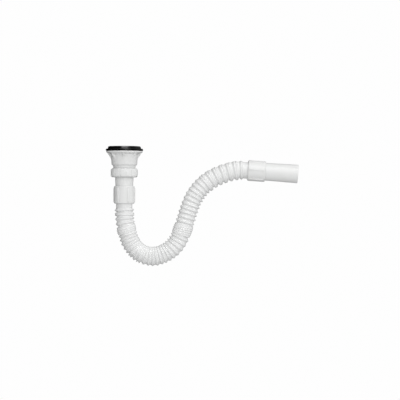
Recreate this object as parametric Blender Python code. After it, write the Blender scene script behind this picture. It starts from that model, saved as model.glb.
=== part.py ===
# Flexible sink trap: a basin waste with its strainer, a union nut, and a hollow bellows hose
# that holds the water in its U-bend and ends in a plain outlet spigot.
# The seat under the sink is the origin, +Z is up along the waste, and the outlet points to +X.

import math

import bmesh
import bpy
from mathutils import Vector

MM = 0.001
GAP = 0.3 * MM  # clearance between pieces that touch
OVERSHOOT = 1.0 * MM  # how far a cutting tool reaches past what it cuts
ROUND_SIDES = 28  # facets round a large turned piece
SMALL_SIDES = 24  # facets round a small turned piece
SMOOTH_ANGLE = math.radians(35)

# Waste cup. Its threaded neck is the size that the cup, the flange and the gaskets are worked out from.
NECK_RADIUS = 20.95 * MM
NECK_LENGTH = 14.8 * MM
NECK_WALL = 3.35 * MM
CUP_STEP = 2.95 * MM
CUP_TAPER = 1.3 * MM
CUP_DEPTH = 26.9 * MM
CUP_WALL = 2.2 * MM
CUP_FLOOR = 2.6 * MM
CUP_BEAD = 1.7 * MM
FLOOR_FALL = 1.5 * MM
FLOOR_FILLET = 1.0 * MM
FLANGE_WIDTH = 8.7 * MM
FLANGE_LIP = 2.3 * MM
FLANGE_SLOPE = 3.2 * MM
FLANGE_BEVEL = 0.4 * MM
GUSSET_COUNT = 8
GUSSET_THICKNESS = 2.0 * MM
GUSSET_HEIGHT = 11.0 * MM
GUSSET_INSET = 1.6 * MM
GUSSET_TIP = 0.6 * MM
GUSSET_OVERLAP = 1.0 * MM
SPIDER_ARMS = 4
ARM_THICKNESS = 2.4 * MM
ARM_HEIGHT = 6.0 * MM
BOSS_WALL = 2.3 * MM
BOSS_HEIGHT = 10.0 * MM
BOSS_DROP = 13.0 * MM
INSERT_FLATS = 10.0 * MM
INSERT_HEIGHT = 5.4 * MM

# Gaskets either side of the sink
GASKET_OVERHANG = 1.1 * MM
GASKET_INSET = 0.4 * MM
GASKET_ROUNDING = 0.9 * MM
LOWER_GASKET_THICKNESS = 4.0 * MM
UPPER_GASKET_THICKNESS = 4.6 * MM
UPPER_GASKET_LIP = 1.7 * MM

# Strainer plate and its screw
STRAINER_RIM = 4.4 * MM
STRAINER_SHEET = 0.8 * MM
DISH_CLEARANCE = 0.6 * MM
DISH_FLARE = 4.0 * MM
DISH_DEPTH = 6.2 * MM
SLOT_COUNT = 8
SLOT_WIDTH = 4.4 * MM
SLOT_MARGIN = 2.6 * MM
SCREW_RADIUS = 3.0 * MM
SCREW_HEAD_RADIUS = 5.6 * MM
SCREW_HEAD_HEIGHT = 2.8 * MM
SCREW_HEAD_FLAT = 3.9 * MM
SCREW_HEAD_DOME = 1.3 * MM
SCREW_SLOT_WIDTH = 1.2 * MM
SCREW_SLOT_DEPTH = 1.5 * MM
SCREW_TIP_BELOW_INSERT = 4.6 * MM

# Union nut, washer and tailpiece
NUT_LENGTH = 16.4 * MM
NUT_WALL = 3.05 * MM
NUT_SHOULDER = 2.5 * MM
NUT_CHAMFER = 1.5 * MM
NUT_RIB_COUNT = 14
NUT_RIB_HEIGHT = 1.0 * MM
NUT_RIB_WIDTH = 9.1 * MM
NUT_RIB_PHASE = math.radians(-5)
RIB_FLANK = 0.4 * MM  # sideways run of a grip rib's side
WASHER_THICKNESS = 2.0 * MM
COLLAR_THICKNESS = 2.0 * MM
COLLAR_WIDTH = 3.15 * MM
TUBE_RADIUS = 16.4 * MM  # at the root, which sits in a coupler
TUBE_WALL = 2.0 * MM
SPIGOT_TAPER = 0.8 * MM
TAILPIECE_SHOWING = 16.7 * MM
TAILPIECE_STRAIGHT = 1.0 * MM  # below the union nut, before the taper
SPIGOT_SHOWING = 61.5 * MM
END_CHAMFER = 0.6 * MM

# Couplers and their seals
COUPLER_LENGTH = 33.0 * MM
COUPLER_WALL = 1.8 * MM
COUPLER_RIB_COUNT = 6
COUPLER_RIB_HEIGHT = 1.35 * MM
COUPLER_RIB_WIDTH = 2.8 * MM
COUPLER_BEVEL = 1.6 * MM
TUBE_SOCKET_DEPTH = 15.5 * MM
STOP_THICKNESS = 2.0 * MM
CUFF_CLEARANCE = 0.5 * MM
SEAL_WIDTH = 2.6 * MM
SEAL_DEPTH = 1.5 * MM
SEAL_SETBACK = 3.8 * MM  # between the tube's stop and the seal's groove
INLET_RIB_PHASE = math.radians(24)
OUTLET_RIB_PHASE = math.radians(-6)

# Bellows hose
CUFF_RADIUS = 15.3 * MM
CUFF_WALL = 1.5 * MM
CUFF_SHOWING = 8.0 * MM
HOSE_SIDES = 16
PLEAT_SLANT = 5.3 * MM  # length of one face of a pleat, which folding doesn't change
PLEAT_STAND = 2.9 * MM  # how far the pleats' tips stand out past the cuff
PLEAT_WALL = 0.7 * MM
BENT_PITCH = 6.6 * MM
SHUT_PITCH = 3.7 * MM
OUTLET_TILT = math.radians(3.9)

# Pleats along the hose, from the inlet: how many stand open, bent or shut together
PLEAT_RUNS = (
    (1, "open"), (2, "shut"), (2, "open"), (4, "shut"), (5, "bent"), (2, "shut"), (1, "bent"),
    (2, "shut"), (8, "bent"), (4, "open"), (6, "shut"), (19, "open"),
)

# The hose's route from the inlet coupler's mouth, across and down in the plane of the trap
ROUTE = (
    (0.0, 0.0), (1.3, -27.1), (5.4, -51.5), (14.0, -75.0), (30.6, -92.8), (54.5, -99.0),
    (77.4, -92.4), (95.3, -77.4), (107.1, -56.6), (114.7, -33.2), (122.1, -10.1), (131.2, 11.5),
    (144.6, 30.2), (162.0, 45.1), (183.5, 55.9), (207.3, 62.6), (231.9, 63.5),
)

# Radii worked out from the sizes above
CUP_BOTTOM_RADIUS = NECK_RADIUS + CUP_STEP
CUP_TOP_RADIUS = CUP_BOTTOM_RADIUS + CUP_TAPER
FLANGE_RADIUS = CUP_TOP_RADIUS + FLANGE_WIDTH
NECK_BORE = NECK_RADIUS - NECK_WALL
LOWER_GASKET_RADIUS = FLANGE_RADIUS + GASKET_OVERHANG
GASKET_BORE = CUP_TOP_RADIUS + GASKET_INSET
DISH_MOUTH_RADIUS = GASKET_BORE - DISH_CLEARANCE
DISH_FLOOR_RADIUS = DISH_MOUTH_RADIUS - DISH_FLARE
STRAINER_RADIUS = DISH_MOUTH_RADIUS + STRAINER_RIM
UPPER_GASKET_RADIUS = STRAINER_RADIUS + GAP + UPPER_GASKET_LIP
SLOT_START = SCREW_HEAD_RADIUS + SLOT_MARGIN
SLOT_END = DISH_FLOOR_RADIUS - SLOT_MARGIN
BOSS_RADIUS = INSERT_FLATS / 2 + GAP + BOSS_WALL
THREAD_BORE = NECK_RADIUS + GAP
NUT_RADIUS = THREAD_BORE + NUT_WALL
WASHER_RADIUS = THREAD_BORE - 3 * GAP
TAILPIECE_TOP_RADIUS = WASHER_RADIUS - COLLAR_WIDTH
SPIGOT_RADIUS = TUBE_RADIUS + SPIGOT_TAPER
TUBE_SOCKET = TUBE_RADIUS + GAP
SEAL_RADIUS = CUFF_RADIUS + GAP
SEAL_GROOVE = SEAL_RADIUS + SEAL_DEPTH + GAP
COUPLER_RADIUS = max(TUBE_SOCKET, SEAL_GROOVE) + COUPLER_WALL
STOP_RADIUS = min(TUBE_RADIUS - TUBE_WALL, CUFF_RADIUS - CUFF_WALL)
PLEAT_RADIUS = CUFF_RADIUS + PLEAT_STAND

# Heights in the stack, worked down from the seat
FLANGE_TOP = -LOWER_GASKET_THICKNESS - GAP
CUP_BOTTOM = FLANGE_TOP - CUP_DEPTH
NECK_END = CUP_BOTTOM - NECK_LENGTH
WASHER_TOP = NECK_END - GAP
WASHER_BOTTOM = WASHER_TOP - WASHER_THICKNESS
COLLAR_TOP = WASHER_BOTTOM - GAP
COLLAR_BOTTOM = COLLAR_TOP - COLLAR_THICKNESS
NUT_BOTTOM = COLLAR_BOTTOM - GAP - NUT_SHOULDER
COUPLER_TOP = NUT_BOTTOM - TAILPIECE_SHOWING
COUPLER_BOTTOM = COUPLER_TOP - COUPLER_LENGTH
STRAINER_UNDERSIDE = UPPER_GASKET_THICKNESS - STRAINER_SHEET
DISH_FLOOR = STRAINER_UNDERSIDE - DISH_DEPTH
BOSS_TOP = FLANGE_TOP - BOSS_DROP
BOSS_BOTTOM = BOSS_TOP - BOSS_HEIGHT
INSERT_BOTTOM = BOSS_BOTTOM + GAP
INSERT_TOP = INSERT_BOTTOM + INSERT_HEIGHT
SCREW_TIP = INSERT_BOTTOM - SCREW_TIP_BELOW_INSERT


def clear_scene():
    for old in list(bpy.data.objects):
        bpy.data.objects.remove(old, do_unlink=True)


def plain_material(name, color, roughness, metallic=0.0):
    made = bpy.data.materials.new(name)
    made.use_nodes = True
    shader = made.node_tree.nodes["Principled BSDF"]
    shader.inputs["Base Color"].default_value = (*color, 1.0)
    shader.inputs["Roughness"].default_value = roughness
    shader.inputs["Metallic"].default_value = metallic
    made.diffuse_color = (*color, 1.0)
    return made


def add_object(name, bm, material, location=(0, 0, 0), parent=None):
    bmesh.ops.recalc_face_normals(bm, faces=bm.faces)
    mesh = bpy.data.meshes.new(name)
    bm.to_mesh(mesh)
    bm.free()
    mesh.shade_smooth()
    mesh.set_sharp_from_angle(angle=SMOOTH_ANGLE)
    if material:
        mesh.materials.append(material)
    made = bpy.data.objects.new(name, mesh)
    bpy.context.collection.objects.link(made)
    made.location = location
    made.parent = parent
    return made


# A turned piece: its section, radius and height pairs, is spun once round the Z axis.
# A section that starts and ends on the axis makes a solid piece, any other is closed on itself.
def turned(name, section, material, sides=ROUND_SIDES, location=(0, 0, 0), parent=None):
    bm = bmesh.new()
    corners = [bm.verts.new((radius, 0, height)) for radius, height in section]
    edges = [bm.edges.new(pair) for pair in zip(corners, corners[1:])]
    if section[0][0] > 0:
        edges.append(bm.edges.new((corners[-1], corners[0])))
    bmesh.ops.spin(
        bm, geom=corners + edges, axis=(0, 0, 1), cent=(0, 0, 0), angle=math.tau, steps=sides, use_merge=True
    )
    bmesh.ops.remove_doubles(bm, verts=bm.verts, dist=1e-7)
    return add_object(name, bm, material, location, parent)


# A closed shell through a loop of rings, each with the same number of points.
def skinned(name, rings, material, location=(0, 0, 0), parent=None):
    bm = bmesh.new()
    loops = [[bm.verts.new(point) for point in ring] for ring in rings]
    for ring, following in zip(loops, loops[1:] + loops[:1]):
        for here, there in zip(range(-1, len(ring) - 1), range(len(ring))):
            bm.faces.new((ring[here], ring[there], following[there], following[here]))
    return add_object(name, bm, material, location, parent)


# A turned piece with grip ribs. Each row of the section gives a radius, a height and how far
# a rib stands out there. Angles are measured from the front, -Y, towards +X. A rib's top and
# the panel between two ribs can have points of their own, to keep a wide one round.
def ribbed(
    name, rows, count, width, top_points, panel_points, phase, material, location=(0, 0, 0), parent=None
):
    spacing = math.tau / count
    half_foot = 0.5 * width / rows[1][0]
    half_top = half_foot - RIB_FLANK / rows[1][0]
    columns = []
    for rib in range(count):
        middle = phase + rib * spacing
        columns += [(middle - half_foot, 0), (middle - half_top, 1)]
        for point in range(top_points):
            columns.append((middle - half_top + 2 * half_top * (point + 1) / (top_points + 1), 1))
        columns += [(middle + half_top, 1), (middle + half_foot, 0)]
        panel = spacing - 2 * half_foot
        for point in range(panel_points):
            columns.append((middle + half_foot + panel * (point + 1) / (panel_points + 1), 0))
    rings = []
    for radius, height, stand in rows:
        ring = []
        for angle, on_rib in columns:
            reach = radius + stand * on_rib
            ring.append((reach * math.sin(angle), -reach * math.cos(angle), height))
        rings.append(ring)
    return skinned(name, rings, material, location, parent)


# A rounded bar section, from its inner to its outer radius and from its bottom to its top.
def ring_section(inner, outer, bottom, top, rounding):
    slope = rounding * 0.3
    return [
        (inner, top), (outer - rounding, top), (outer - slope, top - slope), (outer, top - rounding),
        (outer, bottom + rounding), (outer - slope, bottom + slope), (outer - rounding, bottom),
        (inner, bottom),
    ]


def add_prism(bm, outline, bottom, top):
    low = [bm.verts.new((x, y, bottom)) for x, y in outline]
    face = bm.faces.new(low)
    pushed = bmesh.ops.extrude_face_region(bm, geom=[face])
    lifted = [item for item in pushed["geom"] if isinstance(item, bmesh.types.BMVert)]
    bmesh.ops.translate(bm, verts=lifted, vec=(0, 0, top - bottom))


# A tool for a Boolean: it is never part of the model itself.
def add_tool(name, bm, parent=None, location=(0, 0, 0)):
    made = add_object(name, bm, None, location, parent)
    made.hide_render = True
    made.display_type = "WIRE"
    return made


def combine(target, tool, operation):
    change = target.modifiers.new(tool.name, "BOOLEAN")
    change.object = tool
    change.operation = operation
    change.solver = "EXACT"


def around(x, y, angle):
    return x * math.cos(angle) - y * math.sin(angle), x * math.sin(angle) + y * math.cos(angle)


def hexagon(flats, sides=6):
    reach = flats / 2 / math.cos(math.pi / sides)
    return [around(reach, 0, math.tau * (corner + 0.5) / sides) for corner in range(sides)]


# Two rubber rings, one over and one under the sink. The lower one's top face is the sink's seat,
# and the part of it that the upper ring leaves bare is a face of its own.
def make_gaskets(rubber):
    lower = ring_section(GASKET_BORE, LOWER_GASKET_RADIUS, -LOWER_GASKET_THICKNESS, 0, GASKET_ROUNDING)
    lower.insert(1, (UPPER_GASKET_RADIUS + GAP, 0))
    turned("lower_gasket", lower, rubber)
    rim_seat = STRAINER_UNDERSIDE - GAP
    lip = STRAINER_RADIUS + GAP
    upper = [
        (GASKET_BORE, rim_seat), (lip, rim_seat), (lip, UPPER_GASKET_THICKNESS),
        (UPPER_GASKET_RADIUS - GASKET_ROUNDING, UPPER_GASKET_THICKNESS),
        (UPPER_GASKET_RADIUS, UPPER_GASKET_THICKNESS - GASKET_ROUNDING),
        (UPPER_GASKET_RADIUS, GAP + GASKET_ROUNDING),
        (UPPER_GASKET_RADIUS - GASKET_ROUNDING, GAP), (GASKET_BORE, GAP),
    ]
    turned("upper_gasket", upper, rubber)


# The pressed steel strainer: a flat rim, a dished floor and a ring of slots
def make_strainer(steel):
    sheet = STRAINER_SHEET
    top = STRAINER_UNDERSIDE + sheet
    section = [
        (SCREW_RADIUS + GAP, DISH_FLOOR + sheet), (DISH_FLOOR_RADIUS - sheet, DISH_FLOOR + sheet),
        (DISH_MOUTH_RADIUS - sheet, top), (STRAINER_RADIUS, top),
        (STRAINER_RADIUS, STRAINER_UNDERSIDE), (DISH_MOUTH_RADIUS, STRAINER_UNDERSIDE),
        (DISH_FLOOR_RADIUS, DISH_FLOOR), (SCREW_RADIUS + GAP, DISH_FLOOR),
    ]
    strainer = turned("strainer_plate", section, steel)
    bm = bmesh.new()
    half = SLOT_WIDTH / 2
    for slot in range(SLOT_COUNT):
        angle = math.tau * (slot + 0.5) / SLOT_COUNT
        outline = []
        for step in range(5):
            turn = math.pi * (step / 4 - 0.5)
            outline.append((SLOT_END - half + half * math.cos(turn), half * math.sin(turn)))
        for step in range(5):
            turn = math.pi * (step / 4 + 0.5)
            outline.append((SLOT_START + half + half * math.cos(turn), half * math.sin(turn)))
        outline = [around(x, y, angle) for x, y in outline]
        add_prism(bm, outline, DISH_FLOOR - OVERSHOOT, DISH_FLOOR + sheet + OVERSHOOT)
    combine(strainer, add_tool("slot_cutter", bm), "DIFFERENCE")


# The pan head screw that pulls the strainer down on to the sink
def make_screw(steel):
    seat = DISH_FLOOR + STRAINER_SHEET + GAP
    top = seat + SCREW_HEAD_HEIGHT
    section = [
        (0, top), (SCREW_HEAD_FLAT, top), (SCREW_HEAD_RADIUS, top - SCREW_HEAD_DOME),
        (SCREW_HEAD_RADIUS, seat), (SCREW_RADIUS, seat),
        (SCREW_RADIUS, SCREW_TIP + END_CHAMFER), (SCREW_RADIUS - END_CHAMFER, SCREW_TIP), (0, SCREW_TIP),
    ]
    screw = turned("strainer_screw", section, steel, SMALL_SIDES)
    bm = bmesh.new()
    reach = SCREW_HEAD_RADIUS + OVERSHOOT
    half = SCREW_SLOT_WIDTH / 2
    outline = [(-reach, -half), (reach, -half), (reach, half), (-reach, half)]
    add_prism(bm, outline, top - SCREW_SLOT_DEPTH, top + OVERSHOOT)
    combine(screw, add_tool("screw_slot_cutter", bm), "DIFFERENCE")


# The hexagonal brass nut in the boss, which the strainer screw pulls up against
def make_insert(brass):
    corner = math.tau / 6
    outer = []
    inner = []
    for side in range(SMALL_SIDES):
        angle = math.tau * side / SMALL_SIDES
        to_flat = (angle + corner / 2) % corner - corner / 2
        reach = INSERT_FLATS / 2 / math.cos(to_flat)
        outer.append((reach * math.cos(angle), reach * math.sin(angle)))
        bore = SCREW_RADIUS + GAP
        inner.append((bore * math.cos(angle), bore * math.sin(angle)))
    heights = ((outer, INSERT_BOTTOM), (outer, INSERT_TOP), (inner, INSERT_TOP), (inner, INSERT_BOTTOM))
    rings = [[(x, y, height) for x, y in outline] for outline, height in heights]
    skinned("brass_insert", rings, brass)


# The moulded cup: a flange on gussets, a tapered cup, a threaded neck, and inside it the arms
# that carry the screw's boss across the water way
def make_cup(plastic):
    slope_start = FLANGE_TOP - FLANGE_LIP
    wall_start = slope_start - FLANGE_SLOPE
    floor_top = CUP_BOTTOM + CUP_FLOOR
    floor_radius = CUP_BOTTOM_RADIUS - CUP_WALL
    section = [
        (CUP_TOP_RADIUS - CUP_WALL, FLANGE_TOP), (FLANGE_RADIUS - FLANGE_BEVEL, FLANGE_TOP),
        (FLANGE_RADIUS, FLANGE_TOP - FLANGE_BEVEL), (FLANGE_RADIUS, slope_start),
        (CUP_TOP_RADIUS, wall_start), (CUP_BOTTOM_RADIUS, CUP_BOTTOM + CUP_BEAD),
        (CUP_BOTTOM_RADIUS - CUP_BEAD, CUP_BOTTOM), (NECK_RADIUS, CUP_BOTTOM),
        (NECK_RADIUS, NECK_END + END_CHAMFER), (NECK_RADIUS - END_CHAMFER, NECK_END), (NECK_BORE, NECK_END),
        (NECK_BORE, floor_top - FLOOR_FALL), (floor_radius - FLOOR_FILLET, floor_top),
        (floor_radius, floor_top + FLOOR_FILLET),
    ]
    cup = turned("waste_cup", section, plastic)

    bm = bmesh.new()
    half = GUSSET_THICKNESS / 2
    reach = FLANGE_RADIUS - GUSSET_INSET
    root = CUP_BOTTOM_RADIUS - CUP_WALL / 2
    side = [
        (root, wall_start + FLANGE_SLOPE / 2), (root, wall_start - GUSSET_HEIGHT),
        (CUP_TOP_RADIUS - GAP, wall_start - GUSSET_HEIGHT), (reach, slope_start - GUSSET_TIP),
        (reach - GUSSET_OVERLAP, slope_start + GUSSET_OVERLAP),
    ]
    for gusset in range(GUSSET_COUNT):
        angle = math.tau * gusset / GUSSET_COUNT
        faces = []
        for offset in (-half, half):
            faces.append([bm.verts.new((*around(x, offset, angle), z)) for x, z in side])
        bm.faces.new(faces[0])
        bm.faces.new(list(reversed(faces[1])))
        for here in range(len(side)):
            bm.faces.new((faces[0][here - 1], faces[1][here - 1], faces[1][here], faces[0][here]))
    combine(cup, add_tool("gussets", bm), "UNION")

    arm_top = BOSS_TOP - (BOSS_HEIGHT - ARM_HEIGHT) / 2
    bm = bmesh.new()
    half = ARM_THICKNESS / 2
    for arm in range(SPIDER_ARMS // 2):
        angle = math.tau * (arm + 0.5) / SPIDER_ARMS
        outline = [(-root, -half), (root, -half), (root, half), (-root, half)]
        add_prism(bm, [around(x, y, angle) for x, y in outline], arm_top - ARM_HEIGHT, arm_top)
    arms = add_tool("spider_arms", bm)
    boss_section = [(0, BOSS_TOP), (BOSS_RADIUS, BOSS_TOP), (BOSS_RADIUS, BOSS_BOTTOM), (0, BOSS_BOTTOM)]
    boss = turned("boss", boss_section, None, SMALL_SIDES)
    boss.hide_render = True
    boss.display_type = "WIRE"
    bm = bmesh.new()
    pocket_top = INSERT_TOP + GAP
    add_prism(bm, hexagon(INSERT_FLATS + 2 * GAP), BOSS_BOTTOM - OVERSHOOT, pocket_top)
    pocket = add_tool("insert_pocket", bm)
    bm = bmesh.new()
    bore = SCREW_RADIUS + GAP
    circle = [around(bore, 0, math.tau * side / SMALL_SIDES) for side in range(SMALL_SIDES)]
    add_prism(bm, circle, pocket_top - OVERSHOOT, BOSS_TOP + OVERSHOOT)
    bore = add_tool("screw_bore", bm)
    arms.modifiers.new("self", "BOOLEAN").object = boss
    arms.modifiers["self"].operation = "UNION"
    arms.modifiers["self"].solver = "EXACT"
    arms.modifiers["self"].use_self = True
    combine(cup, arms, "UNION")
    combine(cup, pocket, "DIFFERENCE")
    combine(cup, bore, "DIFFERENCE")


def make_washer(rubber):
    section = [
        (NECK_BORE, WASHER_TOP), (WASHER_RADIUS, WASHER_TOP),
        (WASHER_RADIUS, WASHER_BOTTOM), (NECK_BORE, WASHER_BOTTOM),
    ]
    turned("sealing_washer", section, rubber)


# The union nut runs on the neck's thread and lifts the tailpiece's collar with its shoulder
def make_nut(plastic):
    top = NUT_LENGTH
    hole = TAILPIECE_TOP_RADIUS + 2 * GAP
    top_facet = (NUT_RIB_WIDTH / 2 - RIB_FLANK) / NUT_RADIUS
    thread = THREAD_BORE / math.cos(top_facet / 2)
    rows = [
        (NUT_RADIUS - NUT_CHAMFER, 0, 0), (NUT_RADIUS, NUT_CHAMFER, NUT_RIB_HEIGHT),
        (NUT_RADIUS, top - NUT_CHAMFER, NUT_RIB_HEIGHT), (NUT_RADIUS - NUT_CHAMFER, top, 0),
        (thread + END_CHAMFER, top, 0), (thread, top - END_CHAMFER, 0), (thread, NUT_SHOULDER, 0),
        (hole, NUT_SHOULDER, 0), (hole, 0, 0),
    ]
    ribbed("union_nut", rows, NUT_RIB_COUNT, NUT_RIB_WIDTH, 1, 0, NUT_RIB_PHASE, plastic, (0, 0, NUT_BOTTOM))


# A tube from its root end, which sits in a coupler up to its mouth. Past the mouth it widens evenly
# to its far end.
def tube_section(root_end, mouth, far_radius, far_end):
    return [
        (TUBE_RADIUS - TUBE_WALL, root_end), (TUBE_RADIUS - END_CHAMFER, root_end),
        (TUBE_RADIUS, root_end + END_CHAMFER), (TUBE_RADIUS, mouth), (far_radius, far_end),
    ]


# The tailpiece is straight where the union nut's shoulder runs on it
def make_tailpiece(plastic):
    root_end = COUPLER_TOP - TUBE_SOCKET_DEPTH + GAP
    section = tube_section(root_end, COUPLER_TOP, TAILPIECE_TOP_RADIUS, NUT_BOTTOM - TAILPIECE_STRAIGHT)
    section += [
        (TAILPIECE_TOP_RADIUS, COLLAR_BOTTOM), (WASHER_RADIUS, COLLAR_BOTTOM),
        (WASHER_RADIUS, COLLAR_TOP), (TAILPIECE_TOP_RADIUS - TUBE_WALL, COLLAR_TOP),
    ]
    turned("tailpiece", section, plastic)


# A coupler's local +Z runs from the hose towards the tube, from its hose-side face
def make_coupler(end, plastic, rubber, phase, location=(0, 0, 0), parent=None):
    top = COUPLER_LENGTH
    stop_top = top - TUBE_SOCKET_DEPTH
    stop_bottom = stop_top - STOP_THICKNESS
    bore = CUFF_RADIUS + CUFF_CLEARANCE
    groove_high = stop_bottom - SEAL_SETBACK
    groove_low = groove_high - SEAL_WIDTH - 2 * GAP
    rows = [
        (COUPLER_RADIUS - COUPLER_BEVEL, 0, 0), (COUPLER_RADIUS, COUPLER_BEVEL, 0),
        (COUPLER_RADIUS, 2 * COUPLER_BEVEL, COUPLER_RIB_HEIGHT),
        (COUPLER_RADIUS, top - 2 * COUPLER_BEVEL, COUPLER_RIB_HEIGHT),
        (COUPLER_RADIUS, top - COUPLER_BEVEL, 0), (COUPLER_RADIUS - COUPLER_BEVEL / 2, top, 0),
        (TUBE_SOCKET, top, 0), (TUBE_SOCKET, stop_top, 0), (STOP_RADIUS, stop_top, 0),
        (STOP_RADIUS, stop_bottom, 0), (bore, stop_bottom, 0), (bore, groove_high, 0),
        (SEAL_GROOVE, groove_high, 0), (SEAL_GROOVE, groove_low, 0), (bore, groove_low, 0), (bore, 0, 0),
    ]
    name = end + "_coupler"
    ribbed(name, rows, COUPLER_RIB_COUNT, COUPLER_RIB_WIDTH, 0, 2, phase, plastic, location, parent)
    low = groove_low + GAP
    high = low + SEAL_WIDTH
    section = [
        (SEAL_RADIUS, low), (SEAL_RADIUS + SEAL_DEPTH, low),
        (SEAL_RADIUS + SEAL_DEPTH, high), (SEAL_RADIUS, high),
    ]
    turned(end + "_seal", section, rubber, SMALL_SIDES, location, parent)


# A smooth curve through the route's points, as close steps in the plane of the trap
def route_curve(steps=24):
    start = Vector(ROUTE[0])
    first = start + Vector((0, 24.0))
    end = Vector(ROUTE[-1])
    last = end + 25.0 * Vector((math.cos(OUTLET_TILT), -math.sin(OUTLET_TILT)))
    points = [first] + [Vector(point) for point in ROUTE] + [last]
    curve = []
    for before, here, there, after in zip(points, points[1:], points[2:], points[3:]):
        for step in range(steps):
            t = step / steps
            curve.append(0.5 * (
                2 * here + (there - before) * t + (2 * before - 5 * here + 4 * there - after) * t * t
                + (3 * here - before - 3 * there + after) * t ** 3
            ))
    curve.append(end)
    return [point * MM for point in curve]


# The route as a place, a direction and a bend for any distance from the inlet coupler's mouth
class Route:
    def __init__(self):
        self.points = route_curve()
        self.marks = [0.0]
        for here, there in zip(self.points, self.points[1:]):
            self.marks.append(self.marks[-1] + (there - here).length)
        self.length = self.marks[-1]

    def place(self, distance):
        if distance <= 0:
            return Vector((0, -distance))
        if distance >= self.length:
            along = Vector((math.cos(OUTLET_TILT), -math.sin(OUTLET_TILT)))
            return self.points[-1] + along * (distance - self.length)
        high = next(index for index, mark in enumerate(self.marks) if mark >= distance)
        share = (distance - self.marks[high - 1]) / (self.marks[high] - self.marks[high - 1])
        return self.points[high - 1].lerp(self.points[high], share)

    def direction(self, distance):
        reach = 3.0 * MM
        return (self.place(distance + reach) - self.place(distance - reach)).normalized()

    def bend(self, distance):
        reach = 6.0 * MM
        before = self.direction(distance - reach)
        after = self.direction(distance + reach)
        return (before.x * after.y - before.y * after.x) / (2 * reach)

    # A ring square to the route. Its radius may differ round it, from the inside of a bend to the outside.
    def ring(self, distance, radius_at):
        middle = self.place(distance)
        along = self.direction(distance)
        side = Vector((-along.y, along.x))
        bend = self.bend(distance)
        ring = []
        for point in range(HOSE_SIDES):
            angle = math.tau * point / HOSE_SIDES
            radius = radius_at(bend * math.cos(angle))
            across = radius * math.cos(angle)
            ring.append((middle.x + side.x * across, radius * math.sin(angle), middle.y + side.y * across))
        return ring


# Pitches of all the pleats. The open ones share out whatever length the others leave.
def pleat_pitches(length):
    fixed = {"bent": BENT_PITCH, "shut": SHUT_PITCH}
    taken = sum(count * fixed[state] for count, state in PLEAT_RUNS if state != "open")
    open_count = sum(count for count, state in PLEAT_RUNS if state == "open")
    fixed["open"] = (length - taken) / open_count
    return [fixed[state] for count, state in PLEAT_RUNS for _ in range(count)]


# The hose: a smooth cuff at each end and thin-walled pleats between. A pleat's faces keep their
# length, so it folds deeper where it is squeezed, such as on the inside of the bend.
def make_hose(plastic, route):
    hold = COUPLER_LENGTH - TUBE_SOCKET_DEPTH - STOP_THICKNESS - GAP
    outer = []
    inner = []

    def cuff(distance):
        outer.append(route.ring(distance, lambda bend: CUFF_RADIUS))
        inner.append(route.ring(distance, lambda bend: CUFF_RADIUS - CUFF_WALL))

    def half_pitch(pitch, bend):
        half = 0.5 * pitch * (1 - bend * PLEAT_RADIUS)
        return min(max(half, 0.3 * PLEAT_SLANT), 0.92 * PLEAT_SLANT)

    def fold(distance, pitch, is_tip):
        def outside(bend):
            depth = 0 if is_tip else math.sqrt(PLEAT_SLANT ** 2 - half_pitch(pitch, bend) ** 2)
            return PLEAT_RADIUS - depth

        def inside(bend):
            return outside(bend) - min(PLEAT_WALL * PLEAT_SLANT / half_pitch(pitch, bend), 2.5 * PLEAT_WALL)

        outer.append(route.ring(distance, outside))
        inner.append(route.ring(distance, inside))

    cuff(-hold)
    cuff(CUFF_SHOWING)
    pitches = pleat_pitches(route.length - 2 * CUFF_SHOWING)
    distance = CUFF_SHOWING
    for index, pitch in enumerate(pitches):
        fold(distance + pitch / 2, pitch, True)
        distance += pitch
        if index + 1 < len(pitches):
            fold(distance, (pitch + pitches[index + 1]) / 2, False)
    cuff(route.length - CUFF_SHOWING)
    cuff(route.length + hold)
    skinned("bellows_hose", outer + inner[::-1], plastic, (0, 0, COUPLER_BOTTOM))


def make_spigot(plastic, parent):
    mouth = COUPLER_LENGTH
    root_end = mouth - TUBE_SOCKET_DEPTH + GAP
    far_end = mouth + SPIGOT_SHOWING
    section = tube_section(root_end, mouth, SPIGOT_RADIUS, far_end - END_CHAMFER)
    section += [(SPIGOT_RADIUS - END_CHAMFER, far_end), (SPIGOT_RADIUS - TUBE_WALL, far_end)]
    turned("outlet_spigot", section, plastic, parent=parent)


def build():
    clear_scene()
    white = plain_material("white_plastic", (0.86, 0.87, 0.87), 0.38)
    soft_white = plain_material("hose_plastic", (0.84, 0.85, 0.86), 0.45)
    rubber = plain_material("black_rubber", (0.015, 0.015, 0.016), 0.42)
    seal_rubber = plain_material("seal_rubber", (0.03, 0.03, 0.03), 0.6)
    steel = plain_material("stainless_steel", (0.62, 0.62, 0.63), 0.22, 1.0)
    brass = plain_material("brass", (0.72, 0.55, 0.24), 0.3, 1.0)

    make_gaskets(rubber)
    make_strainer(steel)
    make_screw(steel)
    make_insert(brass)
    make_cup(white)
    make_washer(seal_rubber)
    make_nut(white)
    make_tailpiece(white)
    make_coupler("inlet", white, seal_rubber, INLET_RIB_PHASE, (0, 0, COUPLER_BOTTOM))
    route = Route()
    make_hose(soft_white, route)

    outlet = bpy.data.objects.new("outlet_end", None)
    bpy.context.collection.objects.link(outlet)
    hose_end = route.place(route.length)
    outlet.location = (hose_end.x, 0, COUPLER_BOTTOM + hose_end.y)
    outlet.rotation_euler = (0, math.pi / 2 + OUTLET_TILT, 0)
    make_coupler("outlet", white, seal_rubber, OUTLET_RIB_PHASE, parent=outlet)
    make_spigot(white, outlet)


build()
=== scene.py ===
# The looks of the flexible sink trap: each moulded, turned and pressed piece at full detail,
# with its plastic, rubber and metal, under a bright and even studio light.

import math

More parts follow.
